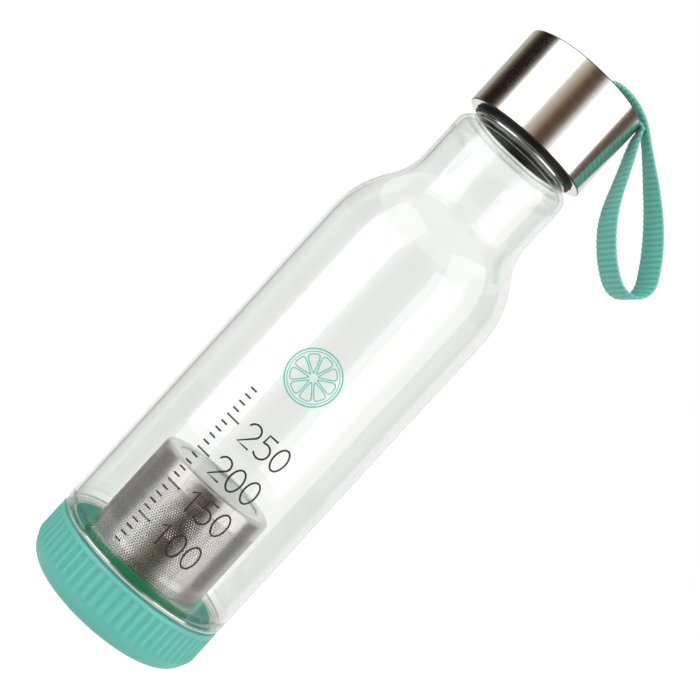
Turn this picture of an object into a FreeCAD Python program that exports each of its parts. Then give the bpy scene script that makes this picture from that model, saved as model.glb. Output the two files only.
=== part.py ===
import FreeCAD, Part
import math
import os
import re

import Sketcher

# Fruit infuser water bottle, millimetres, +Z up, origin at the middle of the face it stands on.
# A clear glass body is open at both ends. A grip-ribbed base cap screws on below and carries a
# perforated steel infuser, and a drawn steel lid with a webbing carry loop screws on above.

doc = FreeCAD.newDocument("infuser_bottle")

# Driving dimensions

sheet = doc.addObject("Spreadsheet::Sheet", "Sizes")

SIZES = {
    # glass body
    "body_radius": 35.0,
    "glass_wall": 1.4,
    "shoulder_z": 155.5,
    "shoulder_convex": 37.0,
    "shoulder_concave": 23.0,
    "neck_radius": 23.6,
    "neck_length": 16.1,
    "neck_round": 4.4,
    "finish_height": 18.8,
    "finish_wall": 1.4,
    "mouth_round": 1.0,
    "bead_height": 1.6,
    "bead_lift": 0.4,
    "lip_round": 1.0,
    "heel_round": 1.6,
    "heel_floor": 1.4,
    "foot_wall": 1.4,
    # base cap
    "cap_height": 20.0,
    "cap_wall": 2.8,
    "cap_floor": 4.0,
    "cap_corner": 8.5,
    "cap_rim_round": 0.8,
    "cap_dish": 0.6,
    "cap_stand": 4.0,
    "grip_count": 60,
    "grip_width": 1.75,
    "grip_depth": 0.5,
    "grip_band": 2.0,
    "boss_wall": 2.4,
    "boss_height": 9.0,
    # infuser
    "infuser_sheet": 0.5,
    "infuser_collar_height": 18.5,
    "infuser_wall_height": 30.5,
    "infuser_band": 5.3,
    "infuser_lip_round": 1.8,
    "infuser_lip_flat": 2.85,
    "infuser_lip_turn": 0.9,
    "mesh_thickness": 0.4,
    "collar_proud": 0.6,
    "collar_wall": 2.3,
    "spigot_wall": 1.7,
    "spigot_height": 5.0,
    # lid
    "lid_overhang": 0.8,
    "lid_height": 31.0,
    "lid_sheet": 0.6,
    "lid_edge_round": 0.75,
    "lid_rim_width": 3.0,
    "lid_gap": 3.5,
    "liner_wall": 3.5,
    "liner_round": 1.0,
    "liner_disc": 2.2,
    # seals
    "base_seal_thickness": 1.8,
    "base_seal_width": 3.4,
    "lid_seal_thickness": 1.5,
    "lid_seal_width": 4.0,
    # strap and its fixing
    "strap_width": 12.0,
    "strap_thickness": 1.2,
    "rivet_radius": 2.0,
    "rivet_head": 4.4,
    "rivet_dome": 1.8,
    "rivet_clinch": 3.2,
    "rivet_clinch_height": 0.8,
    "washer_radius": 5.5,
    "washer_thickness": 0.8,
    # clearances
    "cap_gap": 0.4,
    "foot_clearance": 0.6,
    "seal_gap": 0.3,
    "infuser_clearance": 7.2,
    "slide_gap": 0.3,
    "boss_top_gap": 1.0,
    "shell_gap": 0.3,
    "thread_space": 1.4,
    "strap_gap": 0.3,
    "rivet_gap": 0.3,
}

# Sizes and heights that follow from the driving dimensions
FORMULAS = {
    "body_bore": "body_radius - glass_wall",
    "cap_bore": "body_radius - cap_wall",
    "cap_waist": "body_radius - grip_depth",
    "cap_dish_radius": "cap_waist - cap_corner - cap_stand",
    "foot_radius": "cap_bore - foot_clearance",
    "foot_bore": "foot_radius - foot_wall",
    "foot_z": "cap_floor + base_seal_thickness",
    "heel_z": "cap_height + cap_gap",
    "heel_inner_z": "heel_z + heel_floor",
    "shoulder_sum": "shoulder_convex + shoulder_concave",
    "shoulder_drop": "body_radius - neck_radius",
    "shoulder_rise": "sqrt(2 * shoulder_sum * shoulder_drop - shoulder_drop ^ 2)",
    "shoulder_mid_radius": "body_radius - shoulder_convex * shoulder_drop / shoulder_sum",
    "shoulder_mid_z": "shoulder_z + shoulder_convex * shoulder_rise / shoulder_sum",
    "inner_convex": "shoulder_convex - glass_wall",
    "inner_concave": "shoulder_concave + glass_wall",
    "inner_mid_radius": "body_bore - inner_convex * shoulder_drop / shoulder_sum",
    "inner_mid_z": "shoulder_z + inner_convex * shoulder_rise / shoulder_sum",
    "neck_bore": "neck_radius - glass_wall",
    "neck_z": "shoulder_z + shoulder_rise",
    "neck_top_z": "neck_z + neck_length",
    "finish_z": "neck_top_z + neck_round",
    "lid_radius": "neck_radius + lid_overhang",
    "liner_radius": "lid_radius - lid_sheet - shell_gap",
    "liner_bore": "liner_radius - liner_wall",
    "finish_radius": "liner_bore - thread_space",
    "mouth_bore": "finish_radius - finish_wall",
    "mouth_z": "finish_z + finish_height",
    "bead_half": "bead_height / 2",
    "bead_radius": "finish_radius + bead_height",
    "bead_z": "finish_z + bead_lift",
    "bead_top_z": "bead_z + bead_height",
    "neck_inner_round": "neck_round - glass_wall",
    "mouth_bend_z": "neck_top_z + neck_inner_round",
    "infuser_radius": "foot_bore - infuser_clearance",
    "infuser_bore": "infuser_radius - infuser_sheet",
    "collar_radius": "infuser_radius + collar_proud",
    "collar_bore": "collar_radius - collar_wall",
    "spigot_radius": "infuser_bore - slide_gap",
    "spigot_bore": "spigot_radius - spigot_wall",
    "boss_radius": "collar_bore - slide_gap",
    "boss_z": "cap_floor + boss_height",
    "collar_step_z": "boss_z + boss_top_gap",
    "collar_z": "cap_floor + infuser_collar_height",
    "spigot_z": "collar_z + spigot_height",
    "infuser_band_z": "collar_z + infuser_wall_height",
    "infuser_bend_z": "infuser_band_z + infuser_band",
    "infuser_top_z": "infuser_bend_z + infuser_lip_round",
    "infuser_inner_round": "infuser_lip_round - infuser_sheet",
    "infuser_flat_radius": "infuser_radius - infuser_lip_round",
    "infuser_eye_radius": "infuser_flat_radius - infuser_lip_flat",
    "lip_turn_inner": "infuser_lip_turn - infuser_sheet",
    "infuser_eye_bore": "infuser_eye_radius - infuser_lip_turn",
    "infuser_eye_z": "infuser_top_z - infuser_lip_turn",
    "mesh_radius": "infuser_eye_bore + infuser_lip_turn",
    "lid_z": "finish_z + lid_gap",
    "lid_top_z": "lid_z + lid_height",
    "lid_bore": "lid_radius - lid_sheet",
    "lid_inner_round": "lid_edge_round - lid_sheet",
    "lid_rim_bore": "lid_radius - lid_rim_width",
    "liner_z": "lid_z + lid_sheet",
    "liner_top_z": "lid_top_z - lid_sheet",
    "disc_z": "mouth_z + lid_seal_thickness",
    "disc_top_z": "disc_z + liner_disc",
    "base_seal_radius": "cap_bore - seal_gap",
    "base_seal_bore": "base_seal_radius - base_seal_width",
    "lid_seal_radius": "liner_bore - seal_gap",
    "lid_seal_bore": "lid_seal_radius - lid_seal_width",
    "rivet_hole": "rivet_radius + rivet_gap",
    "strap_stack": "2 * strap_thickness + strap_gap",
    "rivet_head_z": "lid_top_z + strap_stack",
    "rivet_dome_radius": "(rivet_head ^ 2 + rivet_dome ^ 2) / (2 * rivet_dome)",
    "rivet_top_z": "rivet_head_z + rivet_dome",
    "washer_z": "liner_top_z - washer_thickness",
    "rivet_end_z": "washer_z - rivet_clinch_height",
}


def fill_sheet():
    """One row per size: its name, then its number or formula under that alias."""
    cells = {name: str(number) for name, number in SIZES.items()}
    cells.update({name: "=" + formula for name, formula in FORMULAS.items()})
    for row, (name, text) in enumerate(cells.items(), start=1):
        sheet.set(f"A{row}", name)
        sheet.set(f"B{row}", text)
        sheet.setAlias(f"B{row}", name)
    doc.recompute()


def bound(expression):
    """The expression with each of its names read from the sheet."""
    return re.sub(r"[a-z][a-z_]*", r"Sizes.\g<0>", expression)


def value(expression):
    """The number that an expression in the sheet's names stands for."""
    return float(sheet.evalExpression(expression))


# Turned pieces

def arc_between(start, end, radius, side):
    """Arc of under half a turn from start to end, its centre to the left (side 1) or right (-1)."""
    chord = end - start
    height = math.sqrt(max(radius ** 2 - chord.Length ** 2 / 4, 0.0))
    across = FreeCAD.Vector(-chord.y, chord.x, 0) / chord.Length
    centre = (start + end) / 2 + across * height * side
    first, last = (start, end) if side > 0 else (end, start)
    angles = [math.atan2(point.y - centre.y, point.x - centre.x) for point in (first, last)]
    if angles[1] < angles[0]:
        angles[1] += 2 * math.pi
    circle = Part.Circle(centre, FreeCAD.Vector(0, 0, 1), radius)
    return Part.ArcOfCircle(circle, angles[0], angles[1])


def place_point(sketch, geometry, end, expressions):
    """Hold one end of a line or arc at the radius and height that two expressions give."""
    axes = (("DistanceX", -2), ("DistanceY", -1))
    for (kind, axis), expression in zip(axes, expressions):
        if expression == "0":
            sketch.addConstraint(Sketcher.Constraint("PointOnObject", geometry, end, axis))
            continue
        index = sketch.addConstraint(
            Sketcher.Constraint(kind, -1, 1, geometry, end, value(expression)))
        sketch.setExpression(f"Constraints[{index}]", bound(expression))


def draw_outline(sketch, steps):
    """Closed outline from steps (radius, height) or (radius, height, arc radius, side), in words.

    A step names the point that the outline goes to next. With four entries it goes there along
    an arc, whose centre lies to the left (1) or right (-1) of the way there.
    """
    points = [FreeCAD.Vector(value(step[0]), value(step[1]), 0) for step in steps]
    ends = []
    for index, step in enumerate(steps):
        start, end = points[index - 1], points[index]
        if len(step) == 4:
            arc = arc_between(start, end, value(step[2]), step[3])
            geometry = sketch.addGeometry(arc, False)
            ends.append((geometry, (1, 2) if step[3] > 0 else (2, 1)))
        else:
            geometry = sketch.addGeometry(Part.LineSegment(start, end), False)
            ends.append((geometry, (1, 2)))
    for index, (geometry, (first, _)) in enumerate(ends):
        before, (_, before_last) = ends[index - 1]
        sketch.addConstraint(Sketcher.Constraint("Coincident", before, before_last, geometry, first))
    for (geometry, (_, last)), step in zip(ends, steps):
        place_point(sketch, geometry, last, step[:2])
        if len(step) == 4:
            index = sketch.addConstraint(Sketcher.Constraint("Radius", geometry, value(step[2])))
            sketch.setExpression(f"Constraints[{index}]", bound(step[2]))


def origin_plane(body, role):
    """One of a body's own base planes."""
    return next(plane for plane in body.Origin.OriginFeatures if plane.Role == role)


def turned(label, steps):
    """Body made by turning an outline of radius and height a full turn about the Z axis."""
    body = doc.addObject("PartDesign::Body", label)
    body.Label = label
    sketch = body.newObject("Sketcher::SketchObject", label + "_outline")
    sketch.AttachmentSupport = [(origin_plane(body, "XZ_Plane"), "")]
    sketch.MapMode = "FlatFace"
    draw_outline(sketch, steps)
    turn = body.newObject("PartDesign::Revolution", label + "_turn")
    turn.Profile = sketch
    turn.ReferenceAxis = (sketch, ["V_Axis"])
    turn.Angle = 360
    doc.recompute()
    return body


def glass_body():
    """Tube with a stepped-in foot below, and a shoulder, straight neck and bottle finish above."""
    return turned("bottle_body", [
        ("foot_bore", "foot_z"),
        ("foot_radius", "foot_z"),
        ("foot_radius", "heel_z"),
        ("body_radius - heel_round", "heel_z"),
        ("body_radius", "heel_z + heel_round", "heel_round", 1),
        ("body_radius", "shoulder_z"),
        ("shoulder_mid_radius", "shoulder_mid_z", "shoulder_convex", 1),
        ("neck_radius", "neck_z", "shoulder_concave", -1),
        ("neck_radius", "neck_top_z"),
        ("neck_radius - neck_round", "finish_z", "neck_round", 1),
        ("finish_radius", "finish_z"),
        ("finish_radius", "bead_z"),
        ("bead_radius - bead_half", "bead_z"),
        ("bead_radius", "bead_z + bead_half", "bead_half", 1),
        ("bead_radius - bead_half", "bead_top_z", "bead_half", 1),
        ("finish_radius", "bead_top_z"),
        ("finish_radius", "mouth_z - lip_round"),
        ("finish_radius - lip_round", "mouth_z", "lip_round", 1),
        ("mouth_bore", "mouth_z"),
        ("mouth_bore", "mouth_bend_z + mouth_round"),
        ("mouth_bore + mouth_round", "mouth_bend_z", "mouth_round", 1),
        ("neck_bore - neck_inner_round", "mouth_bend_z"),
        ("neck_bore", "neck_top_z", "neck_inner_round", -1),
        ("neck_bore", "neck_z"),
        ("inner_mid_radius", "inner_mid_z", "inner_concave", 1),
        ("body_bore", "shoulder_z", "inner_convex", -1),
        ("body_bore", "heel_inner_z + heel_round"),
        ("body_bore - heel_round", "heel_inner_z", "heel_round", -1),
        ("foot_bore + lip_round", "heel_inner_z"),
        ("foot_bore", "heel_inner_z - lip_round", "lip_round", 1),
    ])


def base_cap():
    """Moulded cup with a dished underside, a boss for the infuser and a ring of grip ribs."""
    body = turned("base_cap", [
        ("0", "cap_dish"),
        ("cap_dish_radius", "cap_dish"),
        ("cap_dish_radius + cap_dish", "0"),
        ("cap_waist - cap_corner", "0"),
        ("cap_waist", "cap_corner", "cap_corner", 1),
        ("body_radius", "cap_corner"),
        ("body_radius", "cap_height - cap_rim_round"),
        ("body_radius - cap_rim_round", "cap_height", "cap_rim_round", 1),
        ("cap_bore", "cap_height"),
        ("cap_bore", "cap_floor"),
        ("boss_radius", "cap_floor"),
        ("boss_radius", "boss_z"),
        ("boss_radius - boss_wall", "boss_z"),
        ("boss_radius - boss_wall", "cap_floor"),
        ("0", "cap_floor"),
    ])
    cut_grip(body)
    return body


def cut_grip(body):
    """Upright flutes round the cap, from the step at its corner up to a plain band at its rim."""
    sketch = body.newObject("Sketcher::SketchObject", "grip_flute")
    sketch.AttachmentSupport = [(origin_plane(body, "XY_Plane"), "")]
    sketch.MapMode = "FlatFace"
    sketch.setExpression("AttachmentOffset.Base.z", bound("cap_corner"))
    draw_outline(sketch, [
        ("cap_waist", "-grip_width / 2"),
        ("body_radius + grip_depth", "-grip_width / 2"),
        ("body_radius + grip_depth", "grip_width / 2"),
        ("cap_waist", "grip_width / 2"),
    ])
    flute = body.newObject("PartDesign::Pocket", "grip_cut")
    flute.Profile = sketch
    flute.Reversed = True
    flute.setExpression("Length", bound("cap_height - grip_band - cap_corner"))
    doc.recompute()
    ring = body.newObject("PartDesign::PolarPattern", "grip_ring")
    ring.Originals = [flute]
    ring.Axis = (sketch, ["N_Axis"])
    ring.Angle = 360
    ring.setExpression("Occurrences", bound("grip_count"))
    body.Tip = ring
    doc.recompute()


def infuser_collar():
    """Moulded ring that slides over the cap's boss, with a spigot that centres the steel wall."""
    return turned("infuser_collar", [
        ("collar_bore", "cap_floor"),
        ("collar_radius", "cap_floor"),
        ("collar_radius", "collar_z"),
        ("spigot_radius", "collar_z"),
        ("spigot_radius", "spigot_z"),
        ("spigot_bore", "spigot_z"),
        ("spigot_bore", "collar_step_z"),
        ("collar_bore", "collar_step_z"),
    ])


def infuser_wall():
    """Rolled sheet sleeve that stands on the collar."""
    return turned("infuser_wall", [
        ("infuser_bore", "collar_z"),
        ("infuser_radius", "collar_z"),
        ("infuser_radius", "infuser_band_z"),
        ("infuser_bore", "infuser_band_z"),
    ])


def infuser_shoulder():
    """Drawn ring: a plain band, a rounded shoulder and a lip turned down round the eye."""
    return turned("infuser_shoulder", [
        ("infuser_bore", "infuser_band_z"),
        ("infuser_radius", "infuser_band_z"),
        ("infuser_radius", "infuser_bend_z"),
        ("infuser_flat_radius", "infuser_top_z", "infuser_lip_round", 1),
        ("infuser_eye_radius", "infuser_top_z"),
        ("infuser_eye_bore", "infuser_eye_z", "infuser_lip_turn", 1),
        ("infuser_eye_bore + infuser_sheet", "infuser_eye_z"),
        ("infuser_eye_radius", "infuser_top_z - infuser_sheet", "lip_turn_inner", -1),
        ("infuser_flat_radius", "infuser_top_z - infuser_sheet"),
        ("infuser_bore", "infuser_bend_z", "infuser_inner_round", -1),
    ])


def infuser_mesh():
    """Flat disc under the turned-down lip."""
    return turned("infuser_mesh", [
        ("0", "infuser_eye_z - mesh_thickness"),
        ("mesh_radius", "infuser_eye_z - mesh_thickness"),
        ("mesh_radius", "infuser_eye_z"),
        ("0", "infuser_eye_z"),
    ])


def ring(label, bore, radius, low, high):
    """Flat ring of square section."""
    return turned(label, [(bore, low), (radius, low), (radius, high), (bore, high)])


def lid_shell():
    """Drawn steel cup, open below, with its lower rim turned in and a rivet hole in its top."""
    return turned("lid_shell", [
        ("lid_rim_bore", "lid_z"),
        ("lid_radius - lid_edge_round", "lid_z"),
        ("lid_radius", "lid_z + lid_edge_round", "lid_edge_round", 1),
        ("lid_radius", "lid_top_z - lid_edge_round"),
        ("lid_radius - lid_edge_round", "lid_top_z", "lid_edge_round", 1),
        ("rivet_hole", "lid_top_z"),
        ("rivet_hole", "liner_top_z"),
        ("lid_radius - lid_edge_round", "liner_top_z"),
        ("lid_bore", "lid_top_z - lid_edge_round", "lid_inner_round", -1),
        ("lid_bore", "lid_z + lid_edge_round"),
        ("lid_radius - lid_edge_round", "liner_z", "lid_inner_round", -1),
        ("lid_rim_bore", "liner_z"),
    ])


def lid_liner():
    """Moulded insert: a sleeve for the bottle finish, closed by a disc part of the way up."""
    return turned("lid_liner", [
        ("liner_bore", "liner_z"),
        ("liner_radius - liner_round", "liner_z"),
        ("liner_radius", "liner_z + liner_round"),
        ("liner_radius", "liner_top_z - liner_round"),
        ("liner_radius - liner_round", "liner_top_z"),
        ("liner_bore", "liner_top_z"),
        ("liner_bore", "disc_top_z"),
        ("0", "disc_top_z"),
        ("0", "disc_z"),
        ("liner_bore", "disc_z"),
    ])


def strap_rivet():
    """Dome-headed rivet down through both strap ends and the lid's top, clinched below."""
    return turned("strap_rivet", [
        ("0", "rivet_end_z"),
        ("rivet_clinch", "rivet_end_z"),
        ("rivet_clinch", "washer_z"),
        ("rivet_radius", "washer_z"),
        ("rivet_radius", "rivet_head_z"),
        ("rivet_head", "rivet_head_z"),
        ("0", "rivet_top_z", "rivet_dome_radius", 1),
    ])


# Carry strap

# Direction across the loop as it hangs, at the angle that the bottle is held
LOOP_ACROSS = FreeCAD.Vector(0.7408, 0, 0.6717)

# Route of the strap's middle line from the lid's top centre: across, deep, up, and the angle in
# degrees by which the webbing has turned from lying flat across the lid.
STRAP_ROUTE = [
    (-7.0, 0.0, 0.6, 0),
    (25.2, 0.0, 0.6, 0),
    (27.4, -0.2, -2.6, 2),
    (29.0, -0.6, -8.4, 6),
    (30.7, -1.4, -14.2, 12),
    (32.7, -2.6, -20.4, 20),
    (35.4, -4.0, -27.0, 28),
    (39.8, -5.2, -33.8, 35),
    (45.2, -6.0, -39.8, 40),
    (51.2, -5.6, -44.6, 44),
    (57.2, -3.0, -46.4, 46),
    (61.6, 1.2, -44.4, 46),
    (62.2, 4.4, -39.6, 44),
    (59.4, 5.4, -34.6, 40),
    (55.0, 5.0, -28.6, 34),
    (49.6, 4.0, -22.2, 27),
    (43.2, 2.8, -15.4, 19),
    (36.6, 1.6, -8.8, 11),
    (30.4, 0.6, -2.0, 5),
    (24.4, 0.2, 3.8, 2),
    (17.6, 0.0, 5.8, 0),
    (12.2, 0.0, 5.0, 0),
    (7.2, 0.0, 2.1, 0),
    (-7.0, 0.0, 2.1, 0),
]

# Share of the shorter run that an arc's tangent may take, and sections per arc
BEND_SHARE = 0.45
BEND_STEPS = 4


def rounded_route(route, height):
    """Points, directions and turn angles along straight runs joined by tangent arcs.

    At each inner point an arc touches both runs at BEND_SHARE of the shorter one. Its radius is
    that length over the tangent of half the turn.
    """
    points = [FreeCAD.Vector(x, y, z + height) for x, y, z, _ in route]
    turns = [turn for _, _, _, turn in route]
    stations = [(points[0], (points[1] - points[0]).normalize(), turns[0])]
    radii = []
    for index in range(1, len(points) - 1):
        back = points[index - 1] - points[index]
        ahead = points[index + 1] - points[index]
        reach = BEND_SHARE * min(back.Length, ahead.Length)
        turn_in = turns[index] + (turns[index - 1] - turns[index]) * reach / back.Length
        turn_out = turns[index] + (turns[index + 1] - turns[index]) * reach / ahead.Length
        heading = back.normalize() * -1
        bend = heading.getAngle(ahead.normalize())
        radius = reach / math.tan(bend / 2)
        radii.append(round(radius, 1))
        start = points[index] - heading * reach
        inward = (ahead - heading * heading.dot(ahead)).normalize()
        for step in range(BEND_STEPS + 1):
            share = step / BEND_STEPS
            angle = bend * share
            along = heading * math.sin(angle) + inward * (1 - math.cos(angle))
            way = heading * math.cos(angle) + inward * math.sin(angle)
            stations.append((start + along * radius, way, turn_in + (turn_out - turn_in) * share))
    stations.append((points[-1], (points[-1] - points[-2]).normalize(), turns[-1]))
    return stations, radii


def strap_section(point, way, degrees, width, thickness):
    """Upright rectangle of webbing at one station, its width turned by an angle about the way."""
    angle = math.radians(degrees)
    wide = LOOP_ACROSS * math.sin(angle) - FreeCAD.Vector(0, 1, 0) * math.cos(angle)
    wide = (wide - way * wide.dot(way)).normalize() * (width / 2)
    thick = way.cross(wide).normalize() * (thickness / 2)
    corners = [point - wide - thick, point + wide - thick, point + wide + thick, point - wide + thick]
    return Part.makePolygon(corners + corners[:1])


def carry_strap():
    """One ribbon of webbing from the rivet over the lid's edge, round its loop and back."""
    width, thickness = value("strap_width"), value("strap_thickness")
    stations, radii = rounded_route(STRAP_ROUTE, value("lid_top_z"))
    sections = [strap_section(*station, width, thickness) for station in stations]
    ribbon = Part.makeLoft(sections, True, True)
    places = [station[0] for station in stations]
    length = sum((b - a).Length for a, b in zip(places, places[1:]))
    print("strap bend radii", radii)
    print("strap length", round(length, 1), "volume", round(ribbon.Volume, 1),
          "section times length", round(length * width * thickness, 1))
    hole = Part.makeCylinder(value("rivet_hole"), value("strap_stack"),
                             FreeCAD.Vector(0, 0, value("lid_top_z")))
    strap = doc.addObject("Part::Feature", "carry_strap")
    strap.Label = "carry_strap"
    strap.Shape = ribbon.cut(hole)
    strap.Placement = FreeCAD.Placement()
    return strap


# Assembly and export

def check_objects():
    """Stop if the document could not work out one of its objects."""
    for item in doc.Objects:
        if "Invalid" in item.State or "Error" in item.State:
            raise RuntimeError(f"{item.Label} failed: {item.State}")


def write_parts(pieces):
    """Write each piece as a STEP file named for its label, once all have a valid shape."""
    os.makedirs("parts", exist_ok=True)
    for piece in pieces:
        if piece.Shape.isNull() or not piece.Shape.isValid():
            raise RuntimeError(f"{piece.Label} has no valid shape")
    for piece in pieces:
        piece.Shape.exportStep(f"parts/{piece.Label}.step")
        print(piece.Label, round(piece.Shape.Volume, 1), len(piece.Shape.Faces), "faces")


fill_sheet()
pieces = [
    glass_body(),
    base_cap(),
    ring("base_seal", "base_seal_bore", "base_seal_radius", "cap_floor", "foot_z"),
    infuser_collar(),
    infuser_wall(),
    infuser_shoulder(),
    infuser_mesh(),
    lid_shell(),
    lid_liner(),
    ring("lid_seal", "lid_seal_bore", "lid_seal_radius", "mouth_z", "disc_z"),
    ring("rivet_washer", "rivet_hole", "washer_radius", "washer_z", "liner_top_z"),
    strap_rivet(),
    carry_strap(),
]
doc.recompute()
check_objects()
write_parts(pieces)
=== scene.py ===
"""Looks of a fruit infuser water bottle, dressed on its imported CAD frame.

Lengths are millimetres until a mesh is made, unless a comment says metres. +Z is up, and the
camera stands on the -Y side.
"""
import math

import bpy
import numpy as np
from mathutils import Matrix, Vector


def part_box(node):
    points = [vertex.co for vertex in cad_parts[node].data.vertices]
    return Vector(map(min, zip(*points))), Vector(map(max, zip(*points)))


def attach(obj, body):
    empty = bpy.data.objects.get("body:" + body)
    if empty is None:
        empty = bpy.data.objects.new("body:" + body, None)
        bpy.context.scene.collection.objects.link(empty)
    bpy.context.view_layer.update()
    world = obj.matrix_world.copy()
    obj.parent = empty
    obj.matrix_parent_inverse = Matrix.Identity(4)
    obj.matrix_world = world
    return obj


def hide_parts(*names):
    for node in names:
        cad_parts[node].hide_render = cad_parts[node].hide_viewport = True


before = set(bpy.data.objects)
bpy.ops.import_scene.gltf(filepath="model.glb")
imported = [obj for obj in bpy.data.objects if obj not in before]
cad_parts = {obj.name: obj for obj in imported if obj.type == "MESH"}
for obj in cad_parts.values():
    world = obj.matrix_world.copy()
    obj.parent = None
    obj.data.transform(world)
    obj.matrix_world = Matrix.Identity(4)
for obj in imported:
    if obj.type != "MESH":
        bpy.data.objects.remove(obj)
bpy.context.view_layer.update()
scene = bpy.context.scene
scene.view_settings.view_transform = "Standard"

MM = 0.001


# Sizes that the frame gives

def span(node):
    """Lowest and highest corner of a CAD node, in millimetres."""
    return [np.round(np.array(corner) / MM, 3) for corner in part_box(node)]


GLASS_LOW, GLASS_HIGH = span("bottle_body")
COLLAR_LOW, COLLAR_HIGH = span("infuser_collar")
WALL_LOW, WALL_HIGH = span("infuser_wall")
DRAWN_LOW, DRAWN_HIGH = span("infuser_shoulder")
SCREEN_LOW, SCREEN_HIGH = span("infuser_mesh")
LID_LOW, LID_HIGH = span("lid_shell")
INSERT_LOW, INSERT_HIGH = span("lid_liner")
RIVET_LOW, RIVET_HIGH = span("strap_rivet")

BODY_RADIUS = GLASS_HIGH[0]
FOOT_Z = GLASS_LOW[2]
MOUTH_Z = GLASS_HIGH[2]
CAP_TOP_Z = span("base_cap")[1][2]
CAP_FLOOR_Z = COLLAR_LOW[2]
LID_TOP_Z = LID_HIGH[2]
LID_SEAL_TOP_Z = span("lid_seal")[1][2]
WASHER_Z = span("rivet_washer")[0][2]

# Glass body
GLASS_WALL = 1.4
FOOT_RADIUS = 31.6
FOOT_BORE = 30.2
HEEL_Z = 20.4
HEEL_ROUND = 1.6
HEEL_INNER_Z = 21.8
SHOULDER_Z = 155.5
SHOULDER_CONVEX = 37.0
SHOULDER_CONCAVE = 23.0
NECK_RADIUS = 23.6
NECK_LENGTH = 16.1
NECK_ROUND = 4.4
FINISH_RADIUS = 18.6
MOUTH_BORE = 17.2
MOUTH_ROUND = 1.0
BEAD_ROUND = 0.8
BEAD_LIFT = 0.4
LIP_ROUND = 1.0
HEEL_BEND_Z = 24.4
HEEL_FADE = 2.0
NECK_BEND_Z = 206.0
NECK_FADE = 4.0
# Mirror shares of the painted highlights on the heel and the bead
HEEL_GLINT = 0.7
BEAD_GLINT = 0.55

# Threads on glass, cap and insert: right-hand, two starts
THREAD_LEAD = 8.0
THREAD_PITCH = 4.0
THREAD_WIDTH = 2.6
THREAD_FADE = 2.5
FINISH_THREAD = 1.1
FOOT_THREAD = 0.45

# Base cap
CAP_BORE = 32.2
CAP_WAIST = 34.5
CAP_CORNER = 8.5
CAP_RIM_ROUND = 0.8
CAP_DISH = 0.6
CAP_DISH_RADIUS = 22.0
GRIP_COUNT = 60
GRIP_DEPTH = 0.5
GRIP_FLATNESS = 1.6
GRIP_LOW_Z = 5.6
GRIP_HIGH_Z = 18.6
BOSS_RADIUS = 21.0
BOSS_BORE = 18.6
BOSS_Z = 13.0
BOSS_ROUND = 0.5
FLOOR_ROUND = 1.0
RIB_RISE = 2.4
SHADE_RISE = 4.0
BAND_RISE = 0.6
# Strength of the painted light that makes the cap's inside glow
CAP_GLOW = 0.3

# Infuser
SHEET = 0.5
COLLAR_BORE = 21.3
COLLAR_Z = 22.5
COLLAR_STEP_Z = 14.0
SPIGOT_RADIUS = 22.2
SPIGOT_BORE = 20.5
DRAWN_ROUND = 1.8
DRAWN_EYE = 18.35
DRAWN_TURN = 0.9
HOLE_COLUMNS = 144
HOLE_ROWS = 36
HOLE_RADIUS = 0.3
SCREEN_PITCH = (1.0, 0.87)
SCREEN_MARGIN = 0.7
CLAMP = 0.1

# Lid
LID_SHEET = 0.6
LID_ROUND = 0.4
LID_RIM_BORE = 21.4
RIVET_HOLE = 2.3
INSERT_BORE = 20.0
INSERT_ROUND = 1.0
INSERT_DISC = 2.2
INSERT_SKIRT = 1.95
SKIRT_GAP = 0.3
SKIRT_ROUND = 0.2

# Carry strap
STRAP_WIDTH = 12.0
STRAP_THICKNESS = 1.2
RIB_PITCH = 1.95
YARN_PITCH = 0.49


# Shapes

ARC_STEP = math.radians(4)
CREASE = math.radians(38)
ON_WALL = 0.01


def stretch(start, step):
    """Points from start to an outline's next point, start left out.

    A step is (radius, height), (radius, height, divisions) or (radius, height, arc radius, side).
    An arc's centre lies to the left (1) or right (-1) of the way there.
    """
    end = np.array(step[:2], float)
    if len(step) < 4:
        divisions = step[2] if len(step) == 3 else 1
        return start + (end - start) * np.linspace(0, 1, divisions + 1)[1:, None]
    chord = end - start
    across = np.array([-chord[1], chord[0]]) / np.linalg.norm(chord)
    height = math.sqrt(max(step[2] ** 2 - chord @ chord / 4, 0))
    centre = (start + end) / 2 + across * height * step[3]
    first, last = (math.atan2(*(point - centre)[::-1]) for point in (start, end))
    turn = (last - first + math.pi) % (2 * math.pi) - math.pi
    count = max(4, math.ceil(abs(turn) / ARC_STEP))
    angles = first + turn * np.linspace(0, 1, count + 1)[1:]
    return centre + step[2] * np.stack([np.cos(angles), np.sin(angles)], axis=1)


def outline(steps):
    """Points of an outline of radius and height, from its first point along each further step."""
    runs = [np.array([steps[0][:2]], float)]
    for step in steps[1:]:
        runs.append(stretch(runs[-1][-1], step))
    return np.concatenate(runs)


def grid_faces(count_u, count_v, wrap_u, wrap_v):
    """Quads of a grid numbered u * count_v + v, joined end to end where a direction wraps."""
    u = np.arange(count_u if wrap_u else count_u - 1)[:, None]
    v = np.arange(count_v if wrap_v else count_v - 1)[None]
    next_u = (u + 1) % count_u
    next_v = (v + 1) % count_v
    corners = [u * count_v + v, next_u * count_v + v, next_u * count_v + next_v, u * count_v + next_v]
    return np.stack(corners, axis=-1).reshape(-1, 4)


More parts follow.
